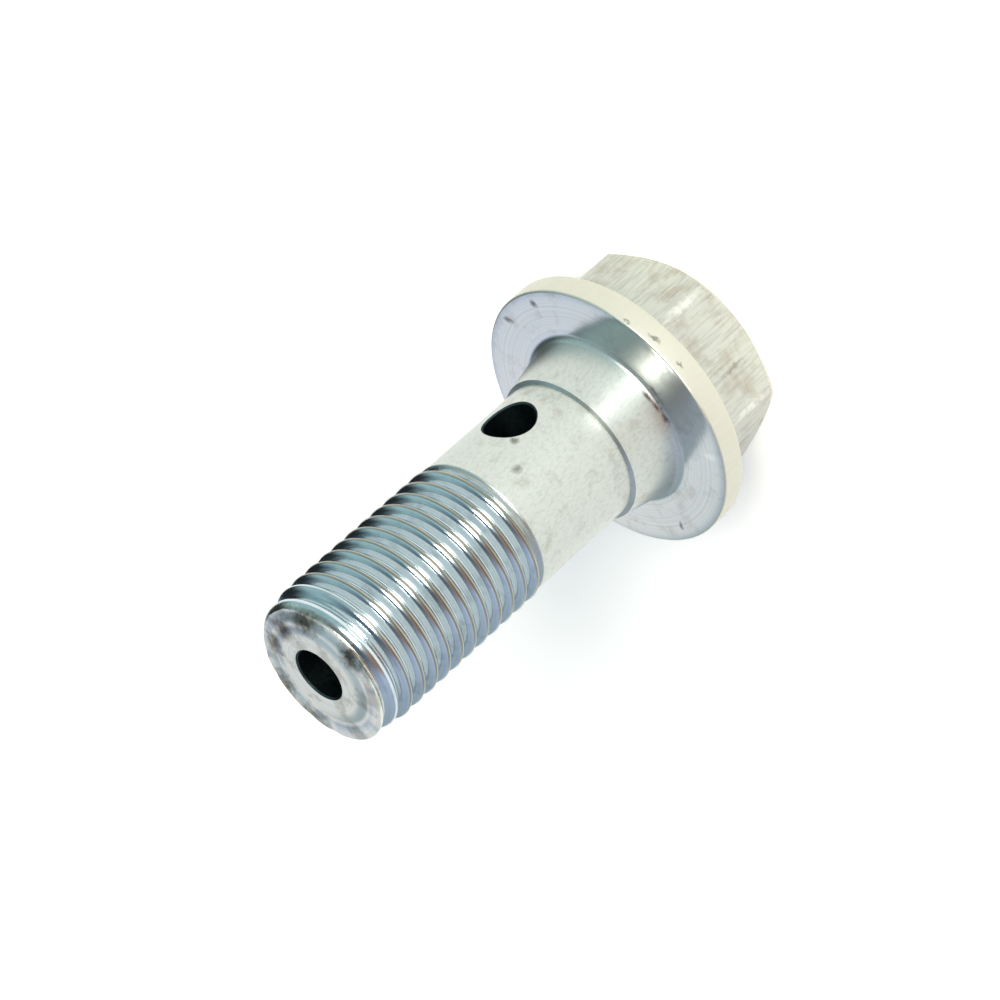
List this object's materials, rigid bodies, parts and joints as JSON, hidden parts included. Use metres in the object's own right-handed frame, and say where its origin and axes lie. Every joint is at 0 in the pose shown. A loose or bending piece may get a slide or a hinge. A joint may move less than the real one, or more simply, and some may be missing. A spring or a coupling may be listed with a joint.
{
  "type": "banjo bolt",
  "caption": "Hollow bolt that clamps a banjo fitting to a port: hexagon head on a wide flange, tapered neck, shank with a cross hole, thread with a blind bore for the fluid.",
  "frame": {"origin": "centre of the flat bearing face under the flange, on the bolt's axis", "axes": "+Z along the bolt's axis from the bearing face to the end of the thread, so the bolt stands on its head; +X along the cross hole"},
  "size_m": [0.0173, 0.0172, 0.0315],
  "materials": {
    "zinc_plated_steel": "bright zinc plate with a pale blue and yellow tint, lightly streaked and nicked"
  },
  "bodies": {
    "root": {"banjo_bolt": "zinc_plated_steel"}
  },
  "joints": []
}
